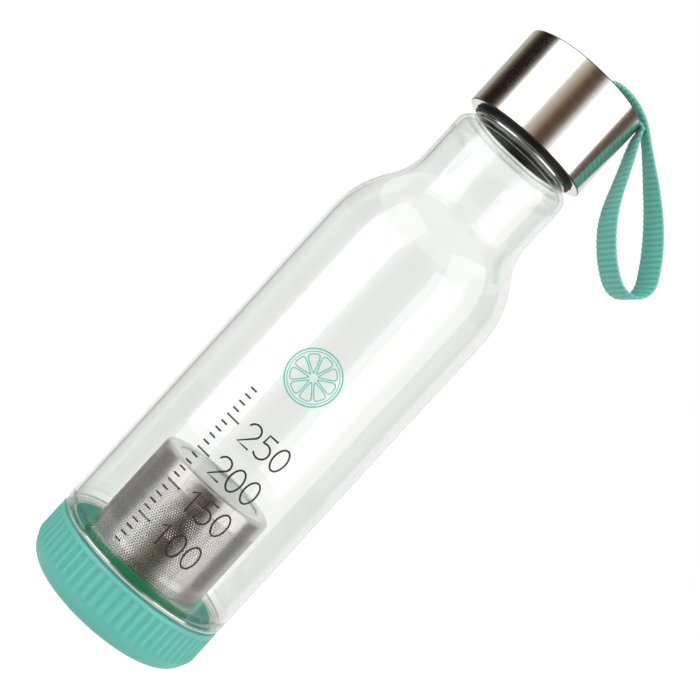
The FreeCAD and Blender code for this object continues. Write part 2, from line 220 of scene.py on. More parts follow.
def turned(steps, columns=192, swell=None, closed=True):
    """Outline turned about the Z axis: radius + swell(angle, radius, height) at each angle.

    The outline runs with its material on its left. One that isn't closed starts and ends in a
    flat disc, a fan of triangles round a point on the axis.
    """
    radius, height = outline(steps).T
    angle = np.linspace(0, 2 * np.pi, columns, endpoint=False)[:, None]
    reach = radius + (np.zeros_like(angle) if swell is None else swell(angle, radius, height))
    rise = np.broadcast_to(height, reach.shape)
    points = np.stack([reach * np.cos(angle), reach * np.sin(angle), rise], axis=-1).reshape(-1, 3)
    faces = grid_faces(columns, len(radius), True, closed).tolist()
    if not closed:
        here = np.arange(columns) * len(radius)
        ahead = np.roll(here, -1)
        last = len(radius) - 1
        poles = np.full((2, columns), len(points)) + [[0], [1]]
        points = np.concatenate([points, [(0, 0, height[0]), (0, 0, height[-1])]])
        faces += np.stack([poles[0], ahead, here], axis=1).tolist()
        faces += np.stack([poles[1], here + last, ahead + last], axis=1).tolist()
    return points, faces


def ease(low, high, value):
    """Smooth step from 0 at low to 1 at high."""
    share = np.clip((value - low) / (high - low), 0, 1)
    return share * share * (3 - 2 * share)


def thread(angle, height, low, high):
    """Ridge of a two-start thread, 0 to 1: a cosine hump where height less the lead's climb
    meets a multiple of the pitch, fading out towards both ends.
    """
    climb = (height - THREAD_LEAD * angle / (2 * np.pi)) / THREAD_PITCH
    off = np.abs(climb - np.round(climb)) * THREAD_PITCH
    hump = 0.5 + 0.5 * np.cos(np.pi * np.clip(2 * off / THREAD_WIDTH, 0, 1))
    return hump * ease(low, low + THREAD_FADE, height) * (1 - ease(high - THREAD_FADE, high, height))


def weld(points, faces):
    """Points that agree to a micrometre become one."""
    keys = np.floor(points / MM + 0.137).astype(np.int64)
    _, first, index = np.unique(keys, axis=0, return_index=True, return_inverse=True)
    return points[first], index.reshape(-1)[faces].tolist()


def punched(centres, pitch, hole, lay):
    """Sheet of cells round six-sided holes, bent to its place by lay.

    A cell is a rectangle with its four corners and the middles of its top and bottom as border
    points, so that rows set off by half a pitch share all of them. Six quads join border to hole.
    """
    border = np.array([(1, 1), (0, 1), (-1, 1), (-1, -1), (0, -1), (1, -1)]) * np.array(pitch) / 2
    angle = np.radians(30 + 60 * np.arange(6))
    rim = hole * np.stack([np.cos(angle), np.sin(angle)], axis=1)
    flat = centres[:, None] + np.concatenate([border, rim])
    here = np.arange(6)
    ahead = np.roll(here, -1)
    quads = np.stack([here, ahead, 6 + ahead, 6 + here], axis=1)
    faces = 12 * np.arange(len(centres))[:, None, None] + quads
    return weld(lay(flat.reshape(-1, 2)), faces.reshape(-1, 4))


def carried(section, line, wide, thick):
    """Section of (across, through) offsets carried along a line; both ends are closed flat.

    section has one row of offsets for each point of the line.
    """
    across = section[..., :1] * wide[:, None]
    through = section[..., 1:] * thick[:, None]
    points = line[:, None] + across + through
    count = section.shape[1]
    faces = grid_faces(len(line), count, False, True)[:, ::-1].tolist()
    ends = [np.arange(count), (len(line) - 1) * count + np.arange(count)[::-1]]
    return points.reshape(-1, 3), faces + [end.tolist() for end in ends]


def piece(name, surface, finish, body, stands_for=(), marks=None):
    """Object of a surface in millimetres, smooth but for its creases, riding on a CAD body.

    marks is a function of the points that gives the mesh's attributes by name.
    """
    points, faces = surface
    mesh = bpy.data.meshes.new(name)
    mesh.from_pydata(points * MM, [], faces)
    mesh.shade_smooth()
    mesh.set_sharp_from_angle(angle=CREASE)
    mesh.materials.append(finish)
    for mark, shares in (marks(points) if marks else {}).items():
        mesh.attributes.new(mark, "FLOAT", "POINT").data.foreach_set("value", shares)
    obj = bpy.data.objects.new(name, mesh)
    scene.collection.objects.link(obj)
    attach(obj, body)
    if stands_for:
        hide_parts(*stands_for)
    return obj


def thicken(obj, thickness, outwards=False):
    """Give a sheet its thickness behind its face, or in front of it, with crisp edges."""
    mesh = obj.data
    edges = np.empty(len(mesh.loops), np.int32)
    mesh.loops.foreach_get("edge_index", edges)
    border = np.bincount(edges, minlength=len(mesh.edges)) == 1
    mesh.edges.foreach_set("use_edge_sharp", border)
    solid = obj.modifiers.new("thickness", "SOLIDIFY")
    solid.thickness = thickness * MM
    solid.offset = 1 if outwards else -1


# Materials

def linear(hex_colour):
    """Linear RGBA of an sRGB hex colour."""
    channels = np.array([int(hex_colour[i:i + 2], 16) for i in (1, 3, 5)]) / 255
    low, high = channels / 12.92, ((channels + 0.055) / 1.055) ** 2.4
    return (*np.where(channels <= 0.04045, low, high), 1.0)


def feed(tree, node, values):
    """Set a node's properties and inputs by name or number; a node or socket as value is linked in."""
    for key, value in values.items():
        if isinstance(value, bpy.types.Node):
            value = value.outputs[0]
        if isinstance(value, bpy.types.NodeSocket):
            tree.links.new(value, node.inputs[key])
        elif isinstance(key, str) and hasattr(node, key):
            setattr(node, key, value)
        else:
            node.inputs[key].default_value = value


def add(tree, kind, values=None):
    """Add a node with these values."""
    node = tree.nodes.new(kind)
    feed(tree, node, values or {})
    return node


def calc(tree, operation, *terms):
    """Math node on its terms, each a number, a node or a socket."""
    return add(tree, "ShaderNodeMath", {"operation": operation, **dict(enumerate(terms))})


def between(tree, low, high, share):
    """Value that goes from low to high as a share goes from 0 to 1."""
    return add(tree, "ShaderNodeMapRange", {"To Min": low, "To Max": high, "Value": share})


def blend(tree, share, first, second, way="MIX"):
    """Colour from first to second by a share."""
    mix = add(tree, "ShaderNodeMix", {"data_type": "RGBA", "blend_type": way, 0: share, 6: first, 7: second})
    return mix.outputs[2]


def mix_shaders(tree, share, first, second):
    """Shader from first to second by a share."""
    return add(tree, "ShaderNodeMixShader", {0: share, 1: first, 2: second})


def relief(tree, strength, depth, height):
    """Normal of a relief whose depth is in millimetres."""
    return add(tree, "ShaderNodeBump", {"Strength": strength, "Distance": depth * MM, "Height": height})


def attribute(tree, name):
    """Share that a mesh attribute gives, 0 on a mesh without it."""
    return add(tree, "ShaderNodeAttribute", {"attribute_name": name}).outputs["Fac"]


def per_mm(size):
    """Texture scale on Object coordinates, which are metres, for features of a size in millimetres."""
    return 1 / (size * MM)


def noise(tree, size, detail):
    """Noise on Object coordinates with features of a size in millimetres."""
    place = add(tree, "ShaderNodeTexCoord").outputs["Object"]
    return add(tree, "ShaderNodeTexNoise", {"Vector": place, "Scale": per_mm(size), "Detail": detail})


def start_material(name, settings):
    """Material with a Principled shader of these settings: material, tree and shader."""
    made = bpy.data.materials.new(name)
    made.use_nodes = True
    tree = made.node_tree
    shader = tree.nodes["Principled BSDF"]
    feed(tree, shader, settings)
    return made, tree, shader


SHEET_MIRROR = 0.012
# Painted shade, multiplied into the cap's grooves
GROOVE_SHADE = "#D6EEE9"
# Painted dark reflection on the lid's rounded edges
EDGE_SHADE = "#4A423C"


def clear_glass():
    """Pressed soda-lime glass, fire-polished: clear, faintly green, a little wavy from the mould.

    Rays from lamps pass straight through it, so that what stands inside is lit. Where the attribute "bend"
    rises to 1 it is drawn as a thin sheet, which bends no light: clear head on but for a faint gloss, and a
    full mirror at a glancing angle. The attribute "glint" paints a highlight on the heel and the bead: it
    raises the mirror's share there, to stand for the bright line that their thick glass gathers.
    """
    made, tree, shader = start_material("soda_lime_glass", {
        "Base Color": linear("#FAFCFA"), "Roughness": 0.0, "IOR": 1.5, "Transmission Weight": 1.0})
    feed(tree, shader, {"Normal": relief(tree, 0.25, 0.02, noise(tree, 28, 1.0))})
    lamp_ray = add(tree, "ShaderNodeLightPath").outputs["Is Shadow Ray"]
    clear = add(tree, "ShaderNodeBsdfTransparent", {"Color": linear("#F4F8F5")})
    thick = mix_shaders(tree, lamp_ray, shader, clear)
    slant = add(tree, "ShaderNodeLayerWeight", {"Blend": 0.5}).outputs["Facing"]
    share = between(tree, SHEET_MIRROR, 1.0, calc(tree, "POWER", slant, 4.0))
    most = calc(tree, "MAXIMUM", share, attribute(tree, "glint"))
    thin = add(tree, "ShaderNodeBsdfTransparent", {"Color": linear("#FEFFFE")})
    gloss = add(tree, "ShaderNodeBsdfAnisotropic", {"Color": linear("#E4E7E4"), "Roughness": 0.02})
    sheet = mix_shaders(tree, most, thin, gloss)
    both = mix_shaders(tree, attribute(tree, "bend"), thick, sheet)
    feed(tree, tree.nodes["Material Output"], {"Surface": both})
    return made


def moulded_plastic(name, colour, shade, roughness, grain, shine=0.5):
    """Moulded polypropylene: even colour with a faint flow mottle and the mould's spark-eroded grain.

    The grain is a few hundredths of a millimetre on the real piece, and is drawn coarser to show.
    Where a mesh has the attribute "groove", painted shade darkens its grooves a little, and where it has
    "glow", its inside glows: painted light that brightens it.
    """
    made, tree, shader = start_material(name, {"IOR": 1.49, "Specular IOR Level": shine})
    tone = blend(tree, noise(tree, 14, 3.0), linear(colour), linear(shade))
    speck = noise(tree, grain, 2.0)
    feed(tree, shader, {
        # Grooves take painted shade, and the inside a painted glow
        "Base Color": blend(tree, attribute(tree, "groove"), tone, linear(GROOVE_SHADE), "MULTIPLY"),
        "Emission Color": tone,
        "Emission Strength": attribute(tree, "glow"),
        "Roughness": between(tree, roughness - 0.06, roughness + 0.06, speck),
        "Normal": relief(tree, 0.2, 0.03, speck)})
    return made


def brushed_steel(name, colour, roughness, anisotropy, spacing, depth):
    """Drawn stainless steel brushed round its axis: fine rings that stretch highlights up and down.

    The rings follow height alone, with slow noise round the axis to break them up. Where a mesh has the
    attribute "edge", its narrow rounded edges get a painted dark reflection, which stands for the room's
    dark corners that they would mirror.
    """
    made, tree, shader = start_material(name, {"Metallic": 1.0, "Anisotropic": anisotropy})
    place = add(tree, "ShaderNodeTexCoord").outputs["Object"]
    squeeze = add(tree, "ShaderNodeMapping", {"Vector": place, "Scale": (0.02, 0.02, 1.0)})
    rings = add(tree, "ShaderNodeTexNoise", {
        "Vector": squeeze, "Scale": per_mm(spacing), "Detail": 3.0, "Roughness": 0.6})
    feed(tree, shader, {
        "Base Color": blend(tree, attribute(tree, "edge"), linear(colour), linear(EDGE_SHADE)),
        "Roughness": between(tree, roughness * 0.4, roughness * 1.6, rings),
        "Normal": relief(tree, 0.1, depth, rings),
        "Tangent": add(tree, "ShaderNodeTangent", {"direction_type": "RADIAL", "axis": "Z"})})
    return made


def silicone():
    """Moulded silicone rubber: milky, matt, letting a little light in, with a fine dusty mottle."""
    made, tree, shader = start_material("silicone_rubber", {
        "Base Color": linear("#E4E5E1"), "IOR": 1.41, "Subsurface Weight": 0.2,
        "Subsurface Radius": (1.5 * MM, 1.5 * MM, 1.5 * MM)})
    feed(tree, shader, {"Roughness": between(tree, 0.5, 0.7, noise(tree, 0.6, 3.0))})
    return made


def webbing():
    """Woven polypropylene webbing: heavy cross ribs, fine yarns along and across, dry sheen.

    UV coordinates are millimetres. The mesh has the ribs; the colour is darker between the ribs and the
    yarns, painted shade, with a random fleck of the dye.
    """
    made, tree, shader = start_material("woven_webbing", {
        "Roughness": 0.75, "Sheen Weight": 0.3, "Sheen Roughness": 0.5})
    place = add(tree, "ShaderNodeTexCoord").outputs["UV"]
    split = add(tree, "ShaderNodeSeparateXYZ", {0: place})

    def wave(axis, pitch):
        """Cosine along one direction of the webbing, 0 to 1."""
        swing = calc(tree, "COSINE", calc(tree, "MULTIPLY", split.outputs[axis], 2 * math.pi / pitch))
        return calc(tree, "MULTIPLY_ADD", swing, 0.5, 0.5)

    yarn = calc(tree, "MULTIPLY", wave("X", YARN_PITCH), wave("Y", YARN_PITCH))
    fleck = add(tree, "ShaderNodeTexNoise", {"Vector": place, "Scale": 1.3, "Detail": 2.0})
    # Painted shade: darker where the ribs and yarns are low, with a random fleck
    height = calc(tree, "MULTIPLY_ADD", yarn, 0.35, wave("Y", RIB_PITCH))
    lit = calc(tree, "MULTIPLY_ADD", fleck, 0.3, height)
    feed(tree, shader, {
        "Base Color": blend(tree, lit, linear("#4AAE9B"), linear("#71CBBC")),
        "Normal": relief(tree, 0.4, 0.15, yarn)})
    return made


def fired_ink(name, colour):
    """Ceramic ink screened and fired on glass: opaque, satin, slightly uneven in gloss."""
    made, tree, shader = start_material(name, {"Base Color": linear(colour), "IOR": 1.5})
    feed(tree, shader, {"Roughness": between(tree, 0.35, 0.55, noise(tree, 1.2, 2.0))})
    return made


GLASS = clear_glass()
TEAL_PLASTIC = moulded_plastic("teal_polypropylene", "#6CC6BA", "#66C1B4", 0.42, 0.45)
GREEN_PLASTIC = moulded_plastic("green_polypropylene", "#2F9468", "#2A8A60", 0.55, 0.45, 0.08)
INSERT_PLASTIC = moulded_plastic("black_polypropylene", "#0C0908", "#080606", 0.5, 0.45, 0.2)
LID_STEEL = brushed_steel("brushed_lid_steel", "#DEDAD4", 0.12, 0.8, 0.35, 0.01)
SLEEVE_STEEL = brushed_steel("rolled_sleeve_steel", "#A9A6A2", 0.22, 0.4, 2.0, 0.004)
# The sleeve's inside face: its colour, darker than the outside's, is painted shade
SLEEVE_INSIDE = brushed_steel("pickled_sleeve_inside_painted_shade", "#66625E", 0.4, 0.0, 2.0, 0.004)
# Screen and its ring: a much lighter steel than the sleeve's, painted light
SCREEN_STEEL = brushed_steel("pickled_screen_painted_light_steel", "#F0F0EE", 0.5, 0.0, 2.0, 0.004)
RIM_STEEL = brushed_steel("drawn_rim_steel", "#B4B1AD", 0.2, 0.3, 0.8, 0.01)
RIVET_STEEL = brushed_steel("polished_rivet_steel", "#D8D5D0", 0.14, 0.0, 0.3, 0.01)
SILICONE = silicone()
WEBBING = webbing()
DARK_INK = fired_ink("dark_fired_ink", "#231F20")
TEAL_INK = fired_ink("teal_fired_ink", "#6CC5B8")


# Glass body

def double_bend(drop, first, second):
    """Drop, rise and the first arc's share of a step made by two equal and opposite bends."""
    arcs = first + second
    return drop, math.sqrt(2 * arcs * drop - drop ** 2), first / arcs


def glass_bottle():
    """Tube with a stepped-in foot, a shoulder of two arcs, a straight neck, bead and finish."""
    drop, rise, share = double_bend(BODY_RADIUS - NECK_RADIUS, SHOULDER_CONVEX, SHOULDER_CONCAVE)
    bore = BODY_RADIUS - GLASS_WALL
    inner_share = share - GLASS_WALL / (SHOULDER_CONVEX + SHOULDER_CONCAVE)
    neck_z = SHOULDER_Z + rise
    neck_bore = NECK_RADIUS - GLASS_WALL
    neck_top_z = neck_z + NECK_LENGTH
    finish_z = neck_top_z + NECK_ROUND
    bead_z = finish_z + BEAD_LIFT
    bead_mid = FINISH_RADIUS + BEAD_ROUND
    inner_round = NECK_ROUND - GLASS_WALL
    mouth_z = neck_top_z + inner_round

    def ridges(angle, radius, height):
        """Threads stand on the foot and on the finish, and nowhere else."""
        on_foot = np.abs(radius - FOOT_RADIUS) < ON_WALL
        on_finish = np.abs(radius - FINISH_RADIUS) < ON_WALL
        foot = FOOT_THREAD * thread(angle, height, FOOT_Z + 1, HEEL_Z - 1)
        finish = FINISH_THREAD * thread(angle, height, bead_z + 8, MOUTH_Z - 2)
        return on_foot * foot + on_finish * finish

    return turned([
        (FOOT_BORE, FOOT_Z),
        (FOOT_RADIUS, FOOT_Z),
        (FOOT_RADIUS, HEEL_Z, 44),
        (BODY_RADIUS - HEEL_ROUND, HEEL_Z),
        (BODY_RADIUS, HEEL_Z + HEEL_ROUND, HEEL_ROUND, 1),
        (BODY_RADIUS, HEEL_BEND_Z + HEEL_FADE, 10),
        (BODY_RADIUS, SHOULDER_Z, 48),
        (BODY_RADIUS - drop * share, SHOULDER_Z + rise * share, SHOULDER_CONVEX, 1),
        (NECK_RADIUS, neck_z, SHOULDER_CONCAVE, -1),
        (NECK_RADIUS, neck_top_z, 8),
        (NECK_RADIUS - NECK_ROUND, finish_z, NECK_ROUND, 1),
        (FINISH_RADIUS, finish_z),
        (FINISH_RADIUS, bead_z),
        (bead_mid, bead_z),
        (bead_mid + BEAD_ROUND, bead_z + BEAD_ROUND, BEAD_ROUND, 1),
        (bead_mid, bead_z + 2 * BEAD_ROUND, BEAD_ROUND, 1),
        (FINISH_RADIUS, bead_z + 2 * BEAD_ROUND),
        (FINISH_RADIUS, MOUTH_Z - LIP_ROUND, 56),
        (FINISH_RADIUS - LIP_ROUND, MOUTH_Z, LIP_ROUND, 1),
        (MOUTH_BORE, MOUTH_Z),
        (MOUTH_BORE, mouth_z + MOUTH_ROUND, 8),
        (MOUTH_BORE + MOUTH_ROUND, mouth_z, MOUTH_ROUND, 1),
        (neck_bore - inner_round, mouth_z),
        (neck_bore, neck_top_z, inner_round, -1),
        (neck_bore, neck_z, 8),
        (bore - drop * inner_share, SHOULDER_Z + rise * inner_share, SHOULDER_CONCAVE + GLASS_WALL, 1),
        (bore, SHOULDER_Z, SHOULDER_CONVEX - GLASS_WALL, -1),
        (bore, HEEL_BEND_Z + HEEL_FADE, 48),
        (bore, HEEL_INNER_Z + HEEL_ROUND, 6),
        (bore - HEEL_ROUND, HEEL_INNER_Z, HEEL_ROUND, -1),
        (FOOT_BORE + LIP_ROUND, HEEL_INNER_Z, 2),
        (FOOT_BORE, HEEL_INNER_Z - LIP_ROUND, LIP_ROUND, 1),
        (FOOT_BORE, FOOT_Z + 1, 8),
    ], swell=ridges)


def glass_marks(points):
    """Attributes of the glass: "bend" is 1 round the heel, the neck's top and the finish, 0 between them;
    "glint", a painted highlight, follows the outside of the heel and the bead's crest.
    """
    x, y, height = points.T
    radius = np.hypot(x, y)
    low = 1 - ease(HEEL_BEND_Z, HEEL_BEND_Z + HEEL_FADE, height)
    high = ease(NECK_BEND_Z - NECK_FADE, NECK_BEND_Z, height)
    heel = (radius > BODY_RADIUS - HEEL_ROUND - 0.1) * (1 - ease(HEEL_Z + 1.5, HEEL_Z + 2.2, height))
    bead = ease(FINISH_RADIUS + 1.3, FINISH_RADIUS + 1.5, radius) * (height > NECK_BEND_Z + NECK_FADE)
    return {"bend": low + high, "glint": HEEL_GLINT * heel + BEAD_GLINT * bead}


# Base cap

def rib_wave(angle):
    """Ribs round the cap, 0 in a groove to 1 on a crest: a cosine of the angle flattened by a tanh."""
    return 0.5 + 0.5 * np.tanh(GRIP_FLATNESS * np.cos(GRIP_COUNT * angle)) / math.tanh(GRIP_FLATNESS)


def ribbed_base():
    """Cup with a dished underside and a boss; ribs stand on its waist and run into a rim band.

    The thread is cut into the bore.
    """
    def ribs_and_thread(angle, radius, height):
        """Ribs and rim band stand out on the outside, and the thread is sunk into the bore."""
        ribs = rib_wave(angle) * ease(GRIP_LOW_Z, GRIP_LOW_Z + RIB_RISE, height)
        band = ease(GRIP_HIGH_Z - BAND_RISE, GRIP_HIGH_Z, height)
        outside = (radius > CAP_BORE + 0.5) & (height > 1)
        inside = np.abs(radius - CAP_BORE) < ON_WALL
        groove = FOOT_THREAD * thread(angle, height, FOOT_Z, CAP_TOP_Z)
        return GRIP_DEPTH * outside * np.maximum(ribs, band) + inside * groove

    return turned([
        (CAP_DISH_RADIUS, CAP_DISH),
        (CAP_DISH_RADIUS + CAP_DISH, 0),
        (CAP_WAIST - CAP_CORNER, 0),
        (CAP_WAIST, CAP_CORNER, CAP_CORNER, 1),
        (CAP_WAIST, GRIP_HIGH_Z - 0.8, 12),
        (CAP_WAIST, GRIP_HIGH_Z + 0.2, 5),
        (CAP_WAIST, CAP_TOP_Z - CAP_RIM_ROUND),
        (CAP_WAIST - CAP_RIM_ROUND, CAP_TOP_Z, CAP_RIM_ROUND, 1),
        (CAP_BORE, CAP_TOP_Z),
        (CAP_BORE, CAP_FLOOR_Z + FLOOR_ROUND, 40),
        (CAP_BORE - FLOOR_ROUND, CAP_FLOOR_Z, FLOOR_ROUND, -1),
        (BOSS_RADIUS, CAP_FLOOR_Z),
        (BOSS_RADIUS, BOSS_Z - BOSS_ROUND),
        (BOSS_RADIUS - BOSS_ROUND, BOSS_Z, BOSS_ROUND, 1),
        (BOSS_BORE + BOSS_ROUND, BOSS_Z),
        (BOSS_BORE, BOSS_Z - BOSS_ROUND, BOSS_ROUND, 1),
        (BOSS_BORE, CAP_FLOOR_Z),
        (1, CAP_FLOOR_Z),
    ], columns=GRIP_COUNT * 8, swell=ribs_and_thread, closed=False)


def cap_marks(points):
    """Attributes of the cap: "groove" is 1 in a groove between the ribs, 0 on a crest, above and below them,
    and places the grooves' painted shade; "glow" is set on the inside alone, and places its painted light.
    """
    x, y, height = points.T
    radius = np.hypot(x, y)
    wall = CAP_BORE + 0.8
    above = ease(GRIP_LOW_Z, GRIP_LOW_Z + SHADE_RISE, height)
    below = 1 - ease(GRIP_HIGH_Z - BAND_RISE, GRIP_HIGH_Z, height)
    depth = (1 - rib_wave(np.arctan2(y, x))) * (above * below) * (radius > wall)
    bend = np.hypot(radius - CAP_WAIST + CAP_CORNER, height - CAP_CORNER)
    underside = (height < CAP_CORNER) & (bend > CAP_CORNER - 0.6)
    inside = (radius < wall) & (height > 1) & ~underside
    return {"groove": depth, "glow": CAP_GLOW * inside}


# Infuser

def collar_ring():
    """Moulded ring with softened edges and a spigot that the steel sleeve stands round."""
    soft = 0.4
    shoulder = 0.9
    return turned([
        (COLLAR_BORE, CAP_FLOOR_Z),
        (COLLAR_HIGH[0] - soft, CAP_FLOOR_Z),
        (COLLAR_HIGH[0], CAP_FLOOR_Z + soft, soft, 1),
        (COLLAR_HIGH[0], COLLAR_Z - shoulder),
        (COLLAR_HIGH[0] - shoulder, COLLAR_Z, shoulder, 1),
        (SPIGOT_RADIUS, COLLAR_Z),
        (SPIGOT_RADIUS, COLLAR_HIGH[2] - soft),
        (SPIGOT_RADIUS - soft, COLLAR_HIGH[2], soft, 1),
        (SPIGOT_BORE, COLLAR_HIGH[2]),
        (SPIGOT_BORE, COLLAR_STEP_Z),
        (COLLAR_BORE, COLLAR_STEP_Z),
    ])


def punched_sleeve():
    """Rolled sheet with staggered rows of holes: u runs round the wall and v up it.

    The real holes are about 0.7 mm apart. They are drawn 1 mm apart, so that they show.
    """
    radius = WALL_HIGH[0]
    pitch = (2 * np.pi * radius / HOLE_COLUMNS, (WALL_HIGH[2] - WALL_LOW[2]) / HOLE_ROWS)
    column, row = np.meshgrid(np.arange(HOLE_COLUMNS), np.arange(HOLE_ROWS))
    u = (column + 0.5 * (row % 2)) * pitch[0]
    v = WALL_LOW[2] + (row + 0.5) * pitch[1]
    centres = np.stack([u.ravel(), v.ravel()], axis=1)

    def roll(flat):
        angle = flat[:, 0] / radius
        return np.stack([radius * np.cos(angle), radius * np.sin(angle), flat[:, 1]], axis=1)

    return punched(centres, pitch, HOLE_RADIUS, roll)


def punched_screen():
    """Flat disc of the same punched sheet, its ragged edge held under the turned-down lip."""
    pitch = SCREEN_PITCH
    count = math.ceil(SCREEN_HIGH[0] / pitch[1])
    column, row = np.meshgrid(np.arange(-count, count + 1), np.arange(-count, count + 1))
    centres = np.stack([(column + 0.5 * (row % 2)).ravel() * pitch[0], row.ravel() * pitch[1]], axis=1)
    held = np.hypot(*centres.T) < SCREEN_HIGH[0] - SCREEN_MARGIN

    def level(flat):
        return np.concatenate([flat, np.full((len(flat), 1), SCREEN_HIGH[2])], axis=1)

    return punched(centres[held], pitch, HOLE_RADIUS, level)


def drawn_rim():
    """Plain band, rounded shoulder and a lip turned down round the eye, in one sheet."""
    radius = DRAWN_HIGH[0]
    low, top = DRAWN_LOW[2], DRAWN_HIGH[2]
    bend_z = top - DRAWN_ROUND
    flat = radius - DRAWN_ROUND
    return turned([
        (radius - SHEET, low),
        (radius, low),
        (radius, bend_z, 4),
        (flat, top, DRAWN_ROUND, 1),
        (DRAWN_EYE, top, 3),
        (DRAWN_EYE - DRAWN_TURN, top - DRAWN_TURN, DRAWN_TURN, 1),
        (DRAWN_EYE - DRAWN_TURN + SHEET, top - DRAWN_TURN),
        (DRAWN_EYE, top - SHEET, DRAWN_TURN - SHEET, -1),
        (flat, top - SHEET, 3),
        (radius - SHEET, bend_z, DRAWN_ROUND - SHEET, -1),
    ])


def screen_ring():
    """Plain ring that clamps the screen's edge from below."""
    return turned([
        (DRAWN_EYE - DRAWN_TURN, SCREEN_LOW[2] - CLAMP),
        (SCREEN_HIGH[0], SCREEN_LOW[2] - CLAMP),
        (SCREEN_HIGH[0], SCREEN_HIGH[2]),
        (DRAWN_EYE - DRAWN_TURN, SCREEN_HIGH[2]),
    ])


# Lid

def lid_cup():
    """Drawn cup with rounded edges, its lower rim turned in and a rivet hole in its top."""
    radius = LID_HIGH[0]
    low, top = LID_LOW[2], LID_TOP_Z
    bore = radius - LID_SHEET
    bend = 0.15
    return turned([
        (LID_RIM_BORE, low),
        (radius - LID_ROUND, low),
        (radius, low + LID_ROUND, LID_ROUND, 1),
        (radius, top - LID_ROUND, 12),
        (radius - LID_ROUND, top, LID_ROUND, 1),
        (RIVET_HOLE, top, 8),
        (RIVET_HOLE, top - LID_SHEET),
        (bore - bend, top - LID_SHEET, 8),
        (bore, top - LID_SHEET - bend, bend, -1),
        (bore, low + LID_SHEET + bend, 12),
        (bore - bend, low + LID_SHEET, bend, -1),
        (LID_RIM_BORE, low + LID_SHEET),
    ])


def lid_marks(points):
    """Attribute "edge" of the lid, which places its painted dark reflection: 1 in the middle of its rounded
    upper and lower edges, 0 elsewhere.
    """
    x, y, height = points.T
    off = np.minimum(LID_TOP_Z - height, height - LID_LOW[2])
    out = LID_HIGH[0] - np.hypot(x, y)
    edge = np.maximum(out, off) < LID_ROUND - 2 * ON_WALL
    return {"edge": edge.astype(float)}


def lid_insert():
    """Sleeve with the thread cut into its bore, closed by a disc part of the way up.

    Its skirt reaches through the steel rim, down to just above the glass bead.
    """
    radius = INSERT_HIGH[0]
    skirt = LID_RIM_BORE - SKIRT_GAP
    low, top = INSERT_LOW[2], INSERT_HIGH[2]
    skirt_z = low - INSERT_SKIRT
    disc_z = LID_SEAL_TOP_Z

    def groove(angle, radius, height):
        inside = (np.abs(radius - INSERT_BORE) < ON_WALL) & (height < disc_z)
        return inside * FINISH_THREAD * thread(angle, height, low + 4, disc_z)

    return turned([
        (1, disc_z),
        (INSERT_BORE, disc_z),
        (INSERT_BORE, skirt_z, 48),
        (skirt - SKIRT_ROUND, skirt_z),
        (skirt, skirt_z + SKIRT_ROUND, SKIRT_ROUND, 1),
        (skirt, low),
        (radius - INSERT_ROUND, low),
        (radius, low + INSERT_ROUND, INSERT_ROUND, 1),
        (radius, top - INSERT_ROUND),
        (radius - INSERT_ROUND, top, INSERT_ROUND, 1),
        (INSERT_BORE, top),
        (INSERT_BORE, disc_z + INSERT_DISC),
        (1, disc_z + INSERT_DISC),
    ], swell=groove, closed=False)


def dome_rivet():
    """Rivet with a domed head above the strap and a clinched end under the washer."""
    shank, head, clinch, dome = 2.0, RIVET_HIGH[0], 3.2, 1.8
    top = RIVET_HIGH[2]
    head_z = top - dome
    dome_radius = (head ** 2 + dome ** 2) / (2 * dome)
    tip = soft = 0.3
    tip_z = top - dome_radius + math.sqrt(dome_radius ** 2 - tip ** 2)
    return turned([
        (1, RIVET_LOW[2]),
        (clinch - soft, RIVET_LOW[2]),
        (clinch, RIVET_LOW[2] + soft, soft, 1),
        (clinch, WASHER_Z),
        (shank, WASHER_Z),
        (shank, head_z),
        (head, head_z),
        (tip, tip_z, dome_radius, 1),
    ], columns=64, closed=False)


# Carry strap

# Direction across the loop as it hangs, at the angle that the bottle is held
LOOP_ACROSS = np.array([0.7408, 0, 0.6717])

# Route of the strap's middle line from the lid's top centre: across, deep, up, and the angle in
# degrees by which the webbing has turned from lying flat across the lid
STRAP_ROUTE = [
    (-5.2, 0.0, 0.6, 0),
    (21.3, 0.0, 0.6, 0),
    (25.2, 0.0, 0.6, 0),
    (25.9, -0.6, -3.0, 4),
    (27.6, -1.0, -7.2, 7),
    (30.4, -1.6, -13.8, 10),
    (32.9, -2.2, -20.3, 13),
    (35.4, -2.6, -26.3, 17),
    (38.6, -3.0, -31.8, 21),
    (42.9, -3.2, -37.0, 22),
    (48.7, -3.0, -42.4, 22),
    (55.9, -2.0, -46.5, 23),
    (62.0, -0.1, -44.9, 24),
    (64.1, 1.8, -38.9, 26),
    (59.8, 2.8, -31.1, 26),
    (55.2, 3.2, -24.8, 24),
    (50.7, 3.2, -19.7, 21),
    (46.4, 3.0, -15.5, 17),
    (41.6, 2.6, -11.2, 13),
    (36.7, 2.0, -7.1, 7),
    (31.7, 1.4, -3.0, 2),
    (26.9, 0.8, 0.9, 0),
    (23.6, 0.4, 3.0, 0),
    (17.6, 0.0, 5.2, 0),
    (11.6, 0.0, 5.8, 0),
    (7.4, 0.0, 5.0, 0),
    (5.2, 0.0, 2.1, 0),
    (1.4, 0.0, 2.1, 0),
    (-9.4, 0.0, 2.1, 0),
]
RIB_SAMPLES = 10
RIB_WAIST = 0.12
RIB_SWELL = 0.1
EDGE_STEPS = 6


def lengths_along(points):
    """Length of a line of points from its start to each of them."""
    return np.concatenate([[0], np.cumsum(np.linalg.norm(np.diff(points, axis=0), axis=1))])


